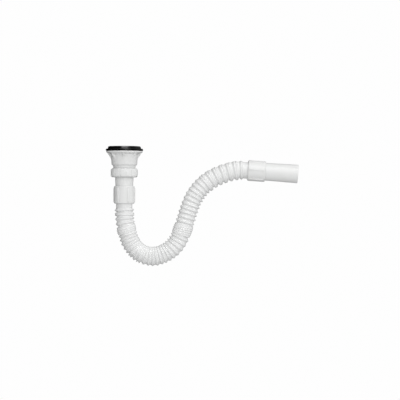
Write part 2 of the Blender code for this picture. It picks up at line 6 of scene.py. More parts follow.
import bmesh
import bpy
import numpy as np
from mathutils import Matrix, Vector


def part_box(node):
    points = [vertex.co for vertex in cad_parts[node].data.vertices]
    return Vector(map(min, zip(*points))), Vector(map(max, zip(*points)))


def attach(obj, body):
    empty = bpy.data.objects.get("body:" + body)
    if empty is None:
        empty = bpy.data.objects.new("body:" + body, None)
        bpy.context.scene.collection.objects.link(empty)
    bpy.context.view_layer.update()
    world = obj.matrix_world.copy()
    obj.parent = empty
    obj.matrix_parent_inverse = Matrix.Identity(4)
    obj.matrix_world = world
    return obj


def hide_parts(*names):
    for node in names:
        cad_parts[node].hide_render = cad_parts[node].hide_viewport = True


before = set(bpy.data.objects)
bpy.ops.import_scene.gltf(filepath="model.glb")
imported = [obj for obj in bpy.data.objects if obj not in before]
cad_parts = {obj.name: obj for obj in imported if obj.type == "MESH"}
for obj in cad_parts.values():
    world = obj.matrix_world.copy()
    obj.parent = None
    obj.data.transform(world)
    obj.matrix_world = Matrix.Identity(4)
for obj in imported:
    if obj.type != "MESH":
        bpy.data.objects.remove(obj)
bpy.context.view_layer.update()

mm = 0.001
fullTurn = math.tau


# Small helpers, each a thing done by hand in the viewport

def selectOnly(piece):
    bpy.ops.object.select_all(action="DESELECT")
    piece.select_set(True)
    bpy.context.view_layer.objects.active = piece


def editMode():
    bpy.ops.object.mode_set(mode="EDIT")


def objectMode():
    bpy.ops.object.mode_set(mode="OBJECT")


def nameActive(name):
    piece = bpy.context.active_object
    piece.name = name
    piece.data.name = name
    return piece


def low(node):
    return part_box(node)[0]


def high(node):
    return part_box(node)[1]


# Draws an outline point by point in the XZ plane and spins it round Z
def turnPiece(name, outline, steps):
    bpy.ops.object.select_all(action="DESELECT")
    bpy.ops.mesh.primitive_plane_add(size=mm)
    piece = nameActive(name)
    editMode()
    bpy.ops.mesh.select_mode(type="VERT")
    bpy.ops.mesh.select_all(action="SELECT")
    bpy.ops.mesh.merge(type="CENTER")
    bpy.ops.transform.translate(value=(outline[0][0], 0, outline[0][1]))
    for here, there in zip(outline, outline[1:] + outline[:1]):
        step = (there[0] - here[0], 0, there[1] - here[1])
        bpy.ops.mesh.extrude_region_move(TRANSFORM_OT_translate={"value": step})
    bpy.ops.mesh.select_all(action="SELECT")
    bpy.ops.mesh.spin(steps=steps, angle=fullTurn, center=(0, 0, 0), axis=(0, 0, 1))
    tidyEdit()
    objectMode()
    return piece


# Merges doubles and turns all faces outwards, in edit mode
def tidyEdit():
    bpy.ops.mesh.select_all(action="SELECT")
    bpy.ops.mesh.remove_doubles(threshold=0.002 * mm)
    bpy.ops.mesh.dissolve_degenerate(threshold=0.001 * mm)
    bpy.ops.mesh.normals_make_consistent(inside=False)


def applyModifier(piece, kind, **settings):
    selectOnly(piece)
    modifier = piece.modifiers.new(kind.lower(), kind)
    for key, value in settings.items():
        setattr(modifier, key, value)
    bpy.ops.object.modifier_apply(modifier=modifier.name)


def roundEdges(piece, width, segments=3, angle=28):
    applyModifier(piece, "BEVEL", width=width, segments=segments, limit_method="ANGLE",
                  angle_limit=math.radians(angle), harden_normals=False)


def cutWith(piece, tool, operation="DIFFERENCE"):
    applyModifier(piece, "BOOLEAN", object=tool, operation=operation, solver="EXACT")
    bpy.data.objects.remove(tool, do_unlink=True)


def joinPieces(pieces, name):
    bpy.ops.object.select_all(action="DESELECT")
    for piece in pieces:
        piece.select_set(True)
    bpy.context.view_layer.objects.active = pieces[0]
    bpy.ops.object.join()
    return nameActive(name)


# Copies of a piece, turned evenly round Z and joined into one
def ringOf(piece, count, phase=0.0):
    copies = [piece]
    for index in range(1, count):
        copy = piece.copy()
        copy.data = piece.data.copy()
        copy.rotation_euler.z = fullTurn * index / count
        bpy.context.collection.objects.link(copy)
        copies.append(copy)
    ring = joinPieces(copies, piece.name)
    ring.rotation_euler.z = phase
    bpy.ops.object.transform_apply(location=True, rotation=True, scale=True)
    return ring


# Selects faces by a test on their centre and normal, in edit mode
def pickFaces(piece, wanted):
    bpy.ops.mesh.select_mode(type="FACE")
    bpy.ops.mesh.select_all(action="DESELECT")
    mesh = bmesh.from_edit_mesh(piece.data)
    for face in mesh.faces:
        if wanted(face.calc_center_median(), face.normal):
            face.select_set(True)
    bmesh.update_edit_mesh(piece.data)


# Angle round Z from the front, -Y, towards +X
def angleFromFront(point):
    return math.atan2(point.x, -point.y)


def onRib(point, count, halfAngle):
    spacing = fullTurn / count
    away = (angleFromFront(point) + spacing / 2) % spacing - spacing / 2
    return abs(away) < halfAngle


# Raises grip ribs out of the wall of a turned piece, between two heights
def raiseRibs(piece, count, halfAngle, bottom, top, leastRadius, stand):
    selectOnly(piece)
    editMode()

    def wanted(centre, normal):
        outside = math.hypot(centre.x, centre.y) > leastRadius and abs(normal.z) < 0.2
        return outside and bottom < centre.z < top and onRib(centre, count, halfAngle)

    pickFaces(piece, wanted)
    bpy.ops.mesh.extrude_region_shrink_fatten(TRANSFORM_OT_shrink_fatten={"value": stand})
    tidyEdit()
    objectMode()


# Edges of almost no length are closed up so that no sliver of a face stays
def closeSlivers(piece, least=0.004 * mm):
    selectOnly(piece)
    editMode()
    bpy.ops.mesh.select_mode(type="VERT")
    bpy.ops.mesh.select_all(action="SELECT")
    bpy.ops.mesh.remove_doubles(threshold=least)
    bpy.ops.mesh.dissolve_degenerate(threshold=least)
    objectMode()


def smoothShade(piece, angle=32):
    closeSlivers(piece)
    selectOnly(piece)
    bpy.ops.object.shade_smooth_by_angle(angle=math.radians(angle))


def putOn(piece, body, node, material):
    piece.data.materials.clear()
    piece.data.materials.append(material)
    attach(piece, body)
    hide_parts(node)


# Camera, at the photo's height and angle
cameraView = {
    "place": (0.1425, -2.82, -0.0956),
    "roll": math.radians(0.25),
    "lens": 135.0,
    "sensor": 36.0,
}
bpy.ops.object.camera_add(location=cameraView["place"], rotation=(math.pi / 2, -cameraView["roll"], 0))
camera = bpy.context.object
camera.data.lens = cameraView["lens"]
camera.data.sensor_width = cameraView["sensor"]
camera.data.clip_start = 0.01
camera.data.clip_end = 100
bpy.context.scene.camera = camera
print("camera set")


# Studio: a pale floor, a bright room that is dim behind on the left, and two soft boxes.
# What the glossy surfaces mirror is set apart: a dark front, a bright top and right, and one bright patch.
studio = {
    "floorHeight": -0.52,
    "floorSize": 60.0,
    "floorColour": 0.72,
    "floorMirrored": 0.05,
    "roomTowards": (0.32, -0.90, 0.30),
    "roomRange": (-0.9, 0.85, 0.66, 1.20),
    "flagTowards": (-0.92, 0.38, -0.05),
    "flagRange": (0.25, 0.80, 1.0, 0.0),
    "mirrorTowards": (0.60, 0.0, 0.80),
    "mirrorRange": (0.1, 0.8, 0.0, 0.5),
    "frontRange": (-0.6, 0.3, 0.08, 1.0),
    "patchTowards": (0.08, -0.66, 0.75),
    "patchRange": (0.90, 0.97, 0.0, 9.0),
    "keyPlace": (0.72, -2.2, 0.50),
    "keySize": (1.4, 1.0),
    "keyPower": 12.0,
    "topPlace": (0.25, -0.3, 1.6),
    "topSize": (1.6, 1.2),
    "topPower": 1.0,
    "aim": (0.12, 0.0, -0.09),
}


def addSoftBox(name, place, size, power):
    bpy.ops.object.light_add(type="AREA", location=place)
    light = bpy.context.object
    light.name = name
    light.data.shape = "RECTANGLE"
    light.data.size = size[0]
    light.data.size_y = size[1]
    light.data.energy = power
    towards = Vector(studio["aim"]) - Vector(place)
    light.rotation_euler = towards.to_track_quat("-Z", "Y").to_euler()


def setRoomLight():
    world = bpy.data.worlds.new("studioRoom")
    world.use_nodes = True
    bpy.context.scene.world = world
    nodes = world.node_tree.nodes
    links = world.node_tree.links
    nodes.clear()
    output = nodes.new("ShaderNodeOutputWorld")
    coordinates = nodes.new("ShaderNodeTexCoord")

    def glowTowards(direction, limits):
        towards = nodes.new("ShaderNodeVectorMath")
        towards.operation = "DOT_PRODUCT"
        towards.inputs[1].default_value = Vector(direction).normalized()
        spread = nodes.new("ShaderNodeMapRange")
        spread.interpolation_type = "SMOOTHSTEP"
        for label, value in zip(("From Min", "From Max", "To Min", "To Max"), limits):
            spread.inputs[label].default_value = value
        links.new(coordinates.outputs["Generated"], towards.inputs[0])
        links.new(towards.outputs["Value"], spread.inputs["Value"])
        return spread.outputs["Result"]

    def combine(operation, first, second):
        node = nodes.new("ShaderNodeMath")
        node.operation = operation
        links.new(first, node.inputs[0])
        links.new(second, node.inputs[1])
        return node.outputs["Value"]

    behind = combine("MULTIPLY", glowTowards(studio["mirrorTowards"], studio["mirrorRange"]),
                     glowTowards((0, 1, 0), studio["frontRange"]))
    mirrored = combine("ADD", behind, glowTowards(studio["patchTowards"], studio["patchRange"]))
    room = nodes.new("ShaderNodeBackground")
    mirror = nodes.new("ShaderNodeBackground")
    backdrop = nodes.new("ShaderNodeBackground")
    backdrop.inputs["Strength"].default_value = 1.0
    backdrop.inputs["Color"].default_value = (0.99, 0.99, 0.99, 1.0)
    paths = nodes.new("ShaderNodeLightPath")
    chooseMirror = nodes.new("ShaderNodeMixShader")
    choose = nodes.new("ShaderNodeMixShader")
    lit = combine("MULTIPLY", glowTowards(studio["roomTowards"], studio["roomRange"]),
                  glowTowards(studio["flagTowards"], studio["flagRange"]))
    links.new(lit, room.inputs["Strength"])
    links.new(mirrored, mirror.inputs["Strength"])
    links.new(paths.outputs["Is Glossy Ray"], chooseMirror.inputs["Fac"])
    links.new(room.outputs["Background"], chooseMirror.inputs[1])
    links.new(mirror.outputs["Background"], chooseMirror.inputs[2])
    links.new(paths.outputs["Is Camera Ray"], choose.inputs["Fac"])
    links.new(chooseMirror.outputs["Shader"], choose.inputs[1])
    links.new(backdrop.outputs["Background"], choose.inputs[2])
    links.new(choose.outputs["Shader"], output.inputs["Surface"])


def addFloor():
    bpy.ops.object.select_all(action="DESELECT")
    bpy.ops.mesh.primitive_plane_add(size=studio["floorSize"], location=(0, 0, studio["floorHeight"]))
    floor = nameActive("studioFloor")
    finish = bpy.data.materials.new("floorPaint")
    finish.use_nodes = True
    nodes = finish.node_tree.nodes
    links = finish.node_tree.links
    nodes.clear()
    output = nodes.new("ShaderNodeOutputMaterial")
    paint = nodes.new("ShaderNodeBsdfDiffuse")
    paint.inputs["Color"].default_value = (*[studio["floorColour"]] * 3, 1.0)
    glow = nodes.new("ShaderNodeEmission")
    glow.inputs["Color"].default_value = (0.99, 0.99, 0.99, 1.0)
    mirrored = nodes.new("ShaderNodeEmission")
    mirrored.inputs["Strength"].default_value = studio["floorMirrored"]
    paths = nodes.new("ShaderNodeLightPath")
    chooseMirror = nodes.new("ShaderNodeMixShader")
    choose = nodes.new("ShaderNodeMixShader")
    links.new(paths.outputs["Is Glossy Ray"], chooseMirror.inputs["Fac"])
    links.new(paint.outputs["BSDF"], chooseMirror.inputs[1])
    links.new(mirrored.outputs["Emission"], chooseMirror.inputs[2])
    links.new(paths.outputs["Is Camera Ray"], choose.inputs["Fac"])
    links.new(chooseMirror.outputs["Shader"], choose.inputs[1])
    links.new(glow.outputs["Emission"], choose.inputs[2])
    links.new(choose.outputs["Shader"], output.inputs["Surface"])
    floor.data.materials.append(finish)


setRoomLight()
addFloor()
addSoftBox("keySoftBox", studio["keyPlace"], studio["keySize"], studio["keyPower"])
addSoftBox("topSoftBox", studio["topPlace"], studio["topSize"], studio["topPower"])
bpy.context.scene.view_settings.view_transform = "Standard"
print("studio lit")


# Shared effects, as node groups

def newGroup(name, inputs, outputs):
    group = bpy.data.node_groups.new(name, "ShaderNodeTree")
    for label, value in inputs.items():
        socket = group.interface.new_socket(name=label, in_out="INPUT", socket_type="NodeSocketFloat")
        socket.default_value = value
    for label in outputs:
        group.interface.new_socket(name=label, in_out="OUTPUT", socket_type="NodeSocketFloat")
    start = group.nodes.new("NodeGroupInput")
    end = group.nodes.new("NodeGroupOutput")
    return group, start, end


# Skin of a moulded piece: slow cloudiness, and the fine texture of the mould's steel
def makeMouldedSkin():
    scales = {"Cloud Scale": 70.0, "Grain Scale": 1500.0}
    group, start, end = newGroup("mouldedSkin", scales, ["Cloud", "Grain"])
    nodes = group.nodes
    links = group.links
    coordinates = nodes.new("ShaderNodeTexCoord")
    cloud = nodes.new("ShaderNodeTexNoise")
    cloud.inputs["Detail"].default_value = 3.0
    cloud.inputs["Roughness"].default_value = 0.55
    grain = nodes.new("ShaderNodeTexNoise")
    grain.inputs["Detail"].default_value = 2.0
    grain.inputs["Roughness"].default_value = 0.6
    links.new(coordinates.outputs["Object"], cloud.inputs["Vector"])
    links.new(coordinates.outputs["Object"], grain.inputs["Vector"])
    links.new(start.outputs["Cloud Scale"], cloud.inputs["Scale"])
    links.new(start.outputs["Grain Scale"], grain.inputs["Scale"])
    links.new(cloud.outputs["Fac"], end.inputs["Cloud"])
    links.new(grain.outputs["Fac"], end.inputs["Grain"])
    return group


mouldedSkin = makeMouldedSkin()


def shadeNodes(name):
    material = bpy.data.materials.new(name)
    material.use_nodes = True
    tree = material.node_tree
    return material, tree.nodes, tree.links, tree.nodes["Principled BSDF"]


def mapRange(nodes, links, source, fromMin, fromMax, toMin, toMax):
    node = nodes.new("ShaderNodeMapRange")
    node.inputs["From Min"].default_value = fromMin
    node.inputs["From Max"].default_value = fromMax
    node.inputs["To Min"].default_value = toMin
    node.inputs["To Max"].default_value = toMax
    links.new(source, node.inputs["Value"])
    return node.outputs["Result"]


def mixColours(nodes, links, factor, first, second):
    node = nodes.new("ShaderNodeMix")
    node.data_type = "RGBA"
    node.inputs["A"].default_value = (*first, 1.0)
    node.inputs["B"].default_value = (*second, 1.0)
    links.new(factor, node.inputs["Factor"])
    return node


# Painted shade: moulded pieces are painted darker where their surface turns away from the eye, standing in
# for the dark rim along their silhouettes
rimShade = {"facing": (0.7, 1.0), "colour": (0.06, 0.06, 0.06)}


# A moulded finish from the skin group: colour clouds, a painted rim shade, roughness and a fine bump
def mouldedMaterial(name, finish):
    material, nodes, links, shader = shadeNodes(name)
    skin = nodes.new("ShaderNodeGroup")
    skin.node_tree = mouldedSkin
    skin.inputs["Cloud Scale"].default_value = finish["cloudScale"]
    skin.inputs["Grain Scale"].default_value = finish["grainScale"]
    blend = mapRange(nodes, links, skin.outputs["Cloud"], 0.3, 0.7, 0.0, 1.0)
    tint = mixColours(nodes, links, blend, finish["colour"], finish["cloudColour"])
    # Painted shade at the silhouette: the colour is darkened towards the rim shade's colour as the surface
    # turns away
    facing = nodes.new("ShaderNodeLayerWeight")
    facing.inputs["Blend"].default_value = 0.5
    edge = mapRange(nodes, links, facing.outputs["Facing"], *rimShade["facing"], 0.0, finish["paintedRimShade"])
    rim = mixColours(nodes, links, edge, (0, 0, 0), rimShade["colour"])
    links.new(tint.outputs["Result"], rim.inputs["A"])
    links.new(rim.outputs["Result"], shader.inputs["Base Color"])
    rough = mapRange(nodes, links, skin.outputs["Cloud"], 0.25, 0.75, *finish["roughness"])
    links.new(rough, shader.inputs["Roughness"])
    bump = nodes.new("ShaderNodeBump")
    bump.inputs["Strength"].default_value = finish["bump"]
    bump.inputs["Distance"].default_value = finish["bumpDepth"]
    links.new(skin.outputs["Grain"], bump.inputs["Height"])
    links.new(bump.outputs["Normal"], shader.inputs["Normal"])
    shader.inputs["IOR"].default_value = finish["ior"]
    shader.inputs["Specular IOR Level"].default_value = finish["shine"]
    return material, nodes, links, tint, rim


whiteFinish = {
    "colour": (0.845, 0.850, 0.846), "cloudColour": (0.825, 0.830, 0.822), "roughness": (0.30, 0.38),
    "cloudScale": 60.0, "grainScale": 1400.0, "bump": 0.12, "bumpDepth": 0.03 * mm,
    "ior": 1.49, "shine": 0.2, "paintedRimShade": 0.9,
}
rubberFinish = {
    "colour": (0.0032, 0.0032, 0.0034), "cloudColour": (0.0050, 0.0050, 0.0052), "roughness": (0.16, 0.22),
    "cloudScale": 90.0, "grainScale": 1800.0, "bump": 0.2, "bumpDepth": 0.03 * mm,
    "ior": 1.52, "shine": 0.4, "paintedRimShade": 0.0,
}
sealFinish = {
    "colour": (0.026, 0.026, 0.027), "cloudColour": (0.04, 0.04, 0.041), "roughness": (0.5, 0.65),
    "cloudScale": 120.0, "grainScale": 1600.0, "bump": 0.4, "bumpDepth": 0.04 * mm,
    "ior": 1.5, "shine": 0.5, "paintedRimShade": 0.0,
}
hoseFinish = {
    "colour": (0.855, 0.860, 0.858), "cloudColour": (0.835, 0.840, 0.836), "roughness": (0.34, 0.44),
    "cloudScale": 80.0, "grainScale": 1200.0, "bump": 0.15, "bumpDepth": 0.04 * mm,
    "ior": 1.49, "shine": 0.2, "paintedRimShade": 0.25,
    "paintedRidgeHighlight": (0.930, 0.934, 0.932), "paintedValleyLight": (0.945, 0.948, 0.945),
}
whitePlastic = mouldedMaterial("whitePolypropylene", whiteFinish)[0]
blackRubber = mouldedMaterial("blackRubber", rubberFinish)[0]
sealRubber = mouldedMaterial("sealRubber", sealFinish)[0]


# The hose is painted whiter along its fold ridges, a painted highlight, and whiter still down in its valleys,
# painted light that lifts their shade
def makeHosePlastic():
    material, nodes, links, tint, rim = mouldedMaterial("hosePolypropylene", hoseFinish)
    fold = nodes.new("ShaderNodeAttribute")
    fold.attribute_name = "fold"
    # Painted highlight along the fold ridges, and painted light in the valleys against their shade
    ridge = mapRange(nodes, links, fold.outputs["Fac"], 0.7, 1.0, 0.0, 0.7)
    valleyLightMask = mapRange(nodes, links, fold.outputs["Fac"], 0.35, 0.0, 0.0, 0.8)
    ridgeHighlighted = mixColours(nodes, links, ridge, (0, 0, 0), hoseFinish["paintedRidgeHighlight"])
    links.new(tint.outputs["Result"], ridgeHighlighted.inputs["A"])
    valleyLit = mixColours(nodes, links, valleyLightMask, (0, 0, 0), hoseFinish["paintedValleyLight"])
    links.new(ridgeHighlighted.outputs["Result"], valleyLit.inputs["A"])
    links.new(valleyLit.outputs["Result"], rim.inputs["A"])
    return material


hosePlastic = makeHosePlastic()


# Metal with marks that run round the part, as a lathe or a spun polish leaves them
def turnedMetal(name, finish):
    material, nodes, links, shader = shadeNodes(name)
    coordinates = nodes.new("ShaderNodeTexCoord")
    length = nodes.new("ShaderNodeVectorMath")
    length.operation = "LENGTH"
    flat = nodes.new("ShaderNodeVectorMath")
    flat.operation = "MULTIPLY"
    flat.inputs[1].default_value = (1, 1, 0)
    links.new(coordinates.outputs["Object"], flat.inputs[0])
    links.new(flat.outputs["Vector"], length.inputs[0])
    rings = nodes.new("ShaderNodeCombineXYZ")
    split = nodes.new("ShaderNodeSeparateXYZ")
    links.new(coordinates.outputs["Object"], split.inputs["Vector"])
    links.new(length.outputs["Value"], rings.inputs["X"])
    links.new(split.outputs["Z"], rings.inputs["Z"])
    marks = nodes.new("ShaderNodeTexNoise")
    marks.inputs["Scale"].default_value = finish["markScale"]
    marks.inputs["Detail"].default_value = 3.0
    links.new(rings.outputs["Vector"], marks.inputs["Vector"])
    smudge = nodes.new("ShaderNodeTexNoise")
    smudge.inputs["Scale"].default_value = 90.0
    smudge.inputs["Detail"].default_value = 3.0
    links.new(coordinates.outputs["Object"], smudge.inputs["Vector"])
    tint = mixColours(nodes, links, smudge.outputs["Fac"], finish["colour"], finish["dullColour"])
    links.new(tint.outputs["Result"], shader.inputs["Base Color"])
    rough = mapRange(nodes, links, marks.outputs["Fac"], 0.3, 0.7, *finish["roughness"])
    links.new(rough, shader.inputs["Roughness"])
    bump = nodes.new("ShaderNodeBump")
    bump.inputs["Strength"].default_value = finish["bump"]
    bump.inputs["Distance"].default_value = 0.02 * mm
    links.new(marks.outputs["Fac"], bump.inputs["Height"])
    links.new(bump.outputs["Normal"], shader.inputs["Normal"])
    shader.inputs["Metallic"].default_value = 1.0
    return material


steelFinish = {
    "colour": (0.66, 0.66, 0.67), "dullColour": (0.58, 0.58, 0.59), "roughness": (0.14, 0.26),
    "markScale": 4000.0, "bump": 0.15,
}
brassFinish = {
    "colour": (0.74, 0.56, 0.26), "dullColour": (0.62, 0.47, 0.22), "roughness": (0.22, 0.36),
    "markScale": 3000.0, "bump": 0.25,
}
stainlessSteel = turnedMetal("stainlessSteel", steelFinish)
brassMetal = turnedMetal("turnedBrass", brassFinish)
print("materials made")


# A block added at its size and place
def addBlock(name, lowCorner, highCorner):
    bpy.ops.object.select_all(action="DESELECT")
    middle = [(a + b) / 2 for a, b in zip(lowCorner, highCorner)]
    bpy.ops.mesh.primitive_cube_add(size=1, location=middle)
    piece = nameActive(name)
    piece.scale = [b - a for a, b in zip(lowCorner, highCorner)]
    bpy.ops.object.transform_apply(location=True, rotation=True, scale=True)
    return piece


def addRod(name, radius, bottom, top, sides=64, x=0.0):
    bpy.ops.object.select_all(action="DESELECT")
    bpy.ops.mesh.primitive_cylinder_add(
        vertices=sides, radius=radius, depth=top - bottom, location=(x, 0.0, (top + bottom) / 2)
    )
    bpy.ops.object.transform_apply(location=True, rotation=True, scale=True)
    return nameActive(name)


# Moves the vertices that pass a test, in edit mode
def movePoints(piece, wanted, shift):
    selectOnly(piece)
    editMode()
    bpy.ops.mesh.select_mode(type="VERT")
    bpy.ops.mesh.select_all(action="DESELECT")
    mesh = bmesh.from_edit_mesh(piece.data)
    for vertex in mesh.verts:
        if wanted(vertex.co):
            vertex.select_set(True)
    mesh.select_flush(True)
    bmesh.update_edit_mesh(piece.data)
    bpy.ops.transform.translate(value=shift)
    objectMode()


# A right-hand thread's ridge: a small outline carried up a helix, with both ends closed
def threadRidge(name, footRadius, crestRadius, footHalf, crestHalf, pitch, bottom, turns, stepsPerTurn):
    outline = [
        (footRadius, footHalf), (crestRadius, crestHalf), (crestRadius, -crestHalf), (footRadius, -footHalf),
    ]
    bpy.ops.object.select_all(action="DESELECT")
    bpy.ops.mesh.primitive_plane_add(size=mm)
    piece = nameActive(name)
    editMode()
    bpy.ops.mesh.select_mode(type="VERT")
    bpy.ops.mesh.select_all(action="SELECT")
    bpy.ops.mesh.merge(type="CENTER")
    bpy.ops.transform.translate(value=(outline[0][0], 0, bottom + outline[0][1]))
    for here, there in zip(outline, outline[1:] + outline[:1]):
        bpy.ops.mesh.extrude_region_move(
            TRANSFORM_OT_translate={"value": (there[0] - here[0], 0, there[1] - here[1])}
        )
    bpy.ops.mesh.select_all(action="SELECT")
    bpy.ops.mesh.remove_doubles(threshold=0.002 * mm)
    objectMode()
    steps = int(turns * stepsPerTurn)
    applyModifier(piece, "SCREW", angle=fullTurn * turns, screw_offset=pitch * turns, steps=steps,
                  render_steps=steps, axis="Z", use_merge_vertices=False, use_smooth_shade=False)
    selectOnly(piece)
    editMode()
    bpy.ops.mesh.select_all(action="SELECT")
    bpy.ops.mesh.fill_holes(sides=0)
    tidyEdit()
    objectMode()
    return piece


# The thread that the cup's neck and the union nut share, G 1-1/4. The nut's ends below the neck's plain part.
unionThread = {
    "pitch": 2.309 * mm, "rootRadius": 19.75 * mm, "crestRadius": 20.95 * mm, "footHalf": 0.80 * mm,
    "crestHalf": 0.24 * mm, "start": 1.9 * mm, "turns": 3.6,
    "nutRoot": 21.3 * mm, "nutCrest": 20.2 * mm, "nutCrestHalf": 0.26 * mm, "nutStart": 1.9 * mm,
    "nutTurns": 2.5, "stepsPerTurn": 72,
}


# Rubber rings over and under the sink
gasketShape = {
    "inner": 25.6 * mm, "rounding": 1.35 * mm, "lipClearance": 0.3 * mm, "rimSeat": 1.1 * mm,
    "slope": 1.1 * mm, "sides": 128, "lowerEdge": 0.25 * mm, "upperEdge": 0.22 * mm,
}


# Points round an outer corner, above or below, without its two ends
def roundCorner(x, z, radius, steps, below=False):
    points = []
    for step in range(1, steps):
        turn = math.pi / 2 * step / steps
        if below:
            points.append((x - radius + radius * math.cos(turn), z + radius - radius * math.sin(turn)))
        else:
            points.append((x - radius + radius * math.sin(turn), z - radius + radius * math.cos(turn)))
    return points


def makeLowerGasket():
    bottom = low("lower_gasket").z
    top = high("lower_gasket").z
    outer = high("lower_gasket").x
    inner = gasketShape["inner"]
    rounding = gasketShape["rounding"]
    outline = [(inner, top), (outer - rounding, top)] + roundCorner(outer, top, rounding, 6)
    outline += [(outer, top - rounding), (outer, bottom + rounding)]
    outline += roundCorner(outer, bottom, rounding, 6, below=True)
    outline += [(outer - rounding, bottom), (inner, bottom)]
    piece = turnPiece("lowerGasketRubber", outline, gasketShape["sides"])
    roundEdges(piece, gasketShape["lowerEdge"], 2, 60)
    smoothShade(piece)
    putOn(piece, "waste", "lower_gasket", blackRubber)


def makeUpperGasket():
    bottom = low("upper_gasket").z
    top = high("upper_gasket").z
    outer = high("upper_gasket").x
    inner = gasketShape["inner"]
    seat = top - gasketShape["rimSeat"]
    lip = high("strainer_plate").x + gasketShape["lipClearance"]
    rounding = gasketShape["rounding"]
    reach = 0.7 * rounding
    edge = outer - gasketShape["slope"]
    outline = [(inner, seat), (lip, seat), (lip, top), (edge - reach, top)] + roundCorner(edge, top, reach, 5)
    outline += [(edge, top - reach), (outer, bottom + rounding)]
    outline += roundCorner(outer, bottom, rounding, 6, below=True)
    outline += [(outer - rounding, bottom), (inner, bottom)]
    piece = turnPiece("upperGasketRubber", outline, gasketShape["sides"])
    roundEdges(piece, gasketShape["upperEdge"], 2, 60)
    smoothShade(piece)
    putOn(piece, "strainer", "upper_gasket", blackRubber)


# Pressed strainer: its rim, its dished floor and a ring of slots
strainerShape = {
    "sheet": 0.8 * mm, "mouth": 25.0 * mm, "floorRadius": 21.0 * mm, "hole": 3.3 * mm,
    "slots": 8, "slotWidth": 4.4 * mm, "slotStart": 8.2 * mm, "slotEnd": 18.4 * mm, "edge": 0.18 * mm,
}


def makeStrainer():
    shape = strainerShape
    sheet = shape["sheet"]
    top = high("strainer_plate").z
    floor = low("strainer_plate").z
    rim = high("strainer_plate").x
    hole = shape["hole"]
    mouth = shape["mouth"]
    dish = shape["floorRadius"]
    outline = [
        (hole, floor + sheet), (dish - sheet * 1.6, floor + sheet), (dish - sheet * 0.6, floor + sheet * 1.5),
        (mouth - sheet * 1.4, top - sheet * 0.5), (mouth - sheet * 0.3, top), (rim, top), (rim, top - sheet),
        (mouth + sheet * 0.2, top - sheet), (mouth - sheet * 0.4, top - sheet * 1.4),
        (dish + sheet * 0.3, floor + sheet * 0.6), (dish - sheet * 0.8, floor), (hole, floor),
    ]
    piece = turnPiece("strainerPressing", outline, 120)
    half = shape["slotWidth"] / 2
    slot = addBlock("slotTool", (shape["slotStart"] + half, -half, floor - sheet),
                    (shape["slotEnd"] - half, half, floor + 2 * sheet))
    ends = [addRod("slotEnd", half, floor - sheet, floor + 2 * sheet, 32, x) for x in
            (shape["slotStart"] + half, shape["slotEnd"] - half)]
    for end in ends:
        cutWith(slot, end, "UNION")
    tools = ringOf(slot, shape["slots"], fullTurn * 0.5 / shape["slots"])
    cutWith(piece, tools)
    roundEdges(piece, shape["edge"], 2, 40)
    smoothShade(piece)
    putOn(piece, "strainer", "strainer_plate", stainlessSteel)


# Pan head screw with a slotted head and a real thread
screwShape = {
    "headRadius": 5.6 * mm, "headHeight": 2.8 * mm, "slotWidth": 1.2 * mm, "slotDepth": 1.5 * mm,
    "core": 2.45 * mm, "crest": 3.0 * mm, "pitch": 1.0 * mm, "tipChamfer": 0.7 * mm,
}


def makeScrew():
    shape = screwShape
    top = high("strainer_screw").z
    tip = low("strainer_screw").z
    seat = top - shape["headHeight"]
    domeStart = 1.2 * mm
    domeHeight = shape["headHeight"] - domeStart
    dome = []
    for step in range(7):
        turn = math.pi / 2 * step / 6
        dome.append((shape["headRadius"] * math.sin(turn), seat + domeStart + domeHeight * math.cos(turn)))
    outline = dome + [
        (shape["headRadius"], seat), (shape["crest"], seat), (shape["crest"], seat - 1.2 * mm),
        (shape["core"], seat - 1.9 * mm), (shape["core"], tip + shape["tipChamfer"]),
        (shape["core"] - shape["tipChamfer"], tip), (0, tip),
    ]
    piece = turnPiece("strainerScrewTurned", outline, 48)
    slot = addBlock("screwSlotTool", (-8 * mm, -shape["slotWidth"] / 2, top - shape["slotDepth"]),
                    (8 * mm, shape["slotWidth"] / 2, top + mm))
    cutWith(piece, slot)
    turns = (seat - 3.2 * mm - tip) / shape["pitch"]
    ridge = threadRidge("screwThread", shape["core"] - 0.1 * mm, shape["crest"], 0.42 * mm, 0.07 * mm,
                        shape["pitch"], tip + 1.1 * mm, turns, 32)
    piece = joinPieces([piece, ridge], "strainerScrewTurned")
    smoothShade(piece, 40)
    putOn(piece, "screw", "strainer_screw", stainlessSteel)


# Hexagonal brass nut in the cup's boss
insertShape = {"bore": 3.25 * mm, "edge": 0.3 * mm}


def makeInsert():
    bottom = low("brass_insert").z
    top = high("brass_insert").z
    flats = 2 * high("brass_insert").y
    piece = addRod("brassInsertNut", flats / 2 / math.cos(math.pi / 6), bottom, top, 6)
    selectOnly(piece)
    editMode()
    bpy.ops.mesh.select_all(action="SELECT")
    bpy.ops.transform.rotate(value=math.pi / 6, orient_axis="Z", center_override=(0, 0, 0))
    objectMode()
    cutWith(piece, addRod("insertBore", insertShape["bore"], bottom - mm, top + mm, 48))
    roundEdges(piece, insertShape["edge"], 2, 25)
    smoothShade(piece)
    putOn(piece, "waste", "brass_insert", brassMetal)


# The moulded cup, with its flange, gussets, threaded neck, and the arms that carry the screw's boss
cupShape = {
    "lip": 2.3 * mm, "slope": 3.2 * mm, "depth": 26.9 * mm, "topRadius": 25.2 * mm, "bottomRadius": 23.9 * mm,
    "wall": 2.2 * mm, "floor": 2.6 * mm, "neckBore": 17.6 * mm, "plainNeck": 4.4 * mm, "bead": 1.7 * mm,
    "gussets": 8, "gussetThick": 2.0 * mm, "gussetHeight": 11.0 * mm, "gussetInset": 1.6 * mm,
    "armThick": 2.4 * mm, "armHeight": 6.0 * mm, "bossRadius": 7.6 * mm, "bossHeight": 10.0 * mm,
    "bossDrop": 13.0 * mm, "insertFlats": 10.6 * mm, "insertHeight": 6.0 * mm, "screwBore": 3.3 * mm,
}


